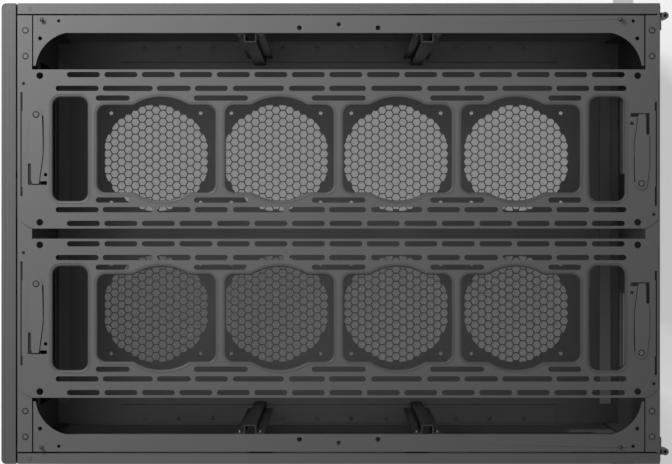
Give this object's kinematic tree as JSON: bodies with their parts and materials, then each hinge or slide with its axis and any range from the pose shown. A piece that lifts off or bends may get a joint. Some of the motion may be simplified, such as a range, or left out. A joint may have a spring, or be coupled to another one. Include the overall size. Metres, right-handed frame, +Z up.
{
  "type": "cube computer case",
  "caption": "Cube-shaped two-chamber computer case without its top cover, with hinged side doors, slotted radiator brackets held by latch levers, and honeycomb floor vents.",
  "frame": {"origin": "centre of the whole plan, on the plane that the feet stand on", "axes": "+Z up, +X from the front bezel to the rear wall, +Y to the left side seen from the front"},
  "size_m": [0.6866, 0.4742, 0.657],
  "materials": {
    "body_steel": "satin powder coat over folded steel",
    "inner_steel": "satin black powder coat",
    "bezel_plastic": "fine-grained moulded plastic",
    "mesh_steel": "black powder coat",
    "window_tint": "tinted clear pane",
    "screw_black": "black zinc",
    "screw_bright": "bright zinc",
    "lever_steel": "satin powder coat",
    "filter_plastic": "woven nylon in a plastic frame",
    "magnet": "ferrite block in black plastic",
    "port_metal": "tin-plated shell",
    "button_plastic": "polished cap",
    "foot_plastic": "moulded foot",
    "foot_rubber": "soft pad"
  },
  "bodies": {
    "case": {"floor_pan": "inner_steel", "dust_filter_left": "filter_plastic", "dust_filter_right": "filter_plastic", "floor_rail_left": "inner_steel", "floor_rail_right": "inner_steel", "front_wall": "body_steel", "rear_wall": "body_steel", "top_rail_left": "body_steel", "top_rail_right": "body_steel", "ball_studs": "screw_bright", "strut_left_front": "inner_steel", "strut_right_front": "inner_steel", "strut_left_rear": "inner_steel", "strut_right_rear": "inner_steel", "strut_screws": "screw_bright", "flange_screws": "screw_black", "radiator_bracket_left": "body_steel", "radiator_bracket_right": "body_steel", "lever_pivots": "screw_black", "hinge_brackets": "body_steel", "hinge_pins": "screw_bright", "front_bezel": "bezel_plastic", "bezel_clips": "bezel_plastic", "bay_covers": "bezel_plastic", "front_mesh_left": "mesh_steel", "front_mesh_right": "mesh_steel", "io_panel": "bezel_plastic", "usb_ports": "port_metal", "audio_jacks": "port_metal", "slot_covers_left": "inner_steel", "slot_covers_right": "inner_steel", "slot_screws": "screw_black", "psu_frames": "inner_steel", "psu_screws": "screw_black", "feet": "foot_plastic", "foot_pads": "foot_rubber"},
    "left_door": {"door_left": "body_steel", "door_window_left": "window_tint", "door_hinges_left": "body_steel", "door_magnets_left": "magnet"},
    "right_door": {"door_right": "body_steel", "door_window_right": "window_tint", "door_hinges_right": "body_steel", "door_magnets_right": "magnet"},
    "lever_left_front_body": {"lever_left_front": "lever_steel"},
    "lever_left_rear_body": {"lever_left_rear": "lever_steel"},
    "lever_right_front_body": {"lever_right_front": "lever_steel"},
    "lever_right_rear_body": {"lever_right_rear": "lever_steel"},
    "power_button_left_body": {"power_button_left": "button_plastic"},
    "power_button_right_body": {"power_button_right": "button_plastic"},
    "reset_button_left_body": {"reset_button_left": "button_plastic"},
    "reset_button_right_body": {"reset_button_right": "button_plastic"}
  },
  "joints": [
    {"name": "left_door_hinge", "type": "hinge", "parent": "case", "child": "left_door", "pos_m": [0.33965, 0.2245, 0.335], "axis": [0, 0, -1], "range_deg": [0, 110]},
    {"name": "right_door_hinge", "type": "hinge", "parent": "case", "child": "right_door", "pos_m": [0.33965, -0.2245, 0.335], "axis": [0, 0, 1], "range_deg": [0, 110]},
    {"name": "lever_left_front_pivot", "type": "hinge", "parent": "case", "child": "lever_left_front_body", "pos_m": [-0.30755, 0.1225, 0.6525], "axis": [0, 0, 1], "range_deg": [0, 6]},
    {"name": "lever_left_rear_pivot", "type": "hinge", "parent": "case", "child": "lever_left_rear_body", "pos_m": [0.31485, 0.0515, 0.6525], "axis": [0, 0, 1], "range_deg": [0, 6]},
    {"name": "lever_right_front_pivot", "type": "hinge", "parent": "case", "child": "lever_right_front_body", "pos_m": [-0.30755, -0.0515, 0.6525], "axis": [0, 0, 1], "range_deg": [0, 6]},
    {"name": "lever_right_rear_pivot", "type": "hinge", "parent": "case", "child": "lever_right_rear_body", "pos_m": [0.31485, -0.1225, 0.6525], "axis": [0, 0, 1], "range_deg": [0, 6]},
    {"name": "power_button_left_push", "type": "slide", "parent": "case", "child": "power_button_left_body", "axis": [1, 0, 0], "range_m": [0, 0.0014], "stiffness_N_per_m": 400},
    {"name": "power_button_right_push", "type": "slide", "parent": "case", "child": "power_button_right_body", "axis": [1, 0, 0], "range_m": [0, 0.0014], "stiffness_N_per_m": 400},
    {"name": "reset_button_left_push", "type": "slide", "parent": "case", "child": "reset_button_left_body", "axis": [1, 0, 0], "range_m": [0, 0.0014], "stiffness_N_per_m": 400},
    {"name": "reset_button_right_push", "type": "slide", "parent": "case", "child": "reset_button_right_body", "axis": [1, 0, 0], "range_m": [0, 0.0014], "stiffness_N_per_m": 400}
  ]
}
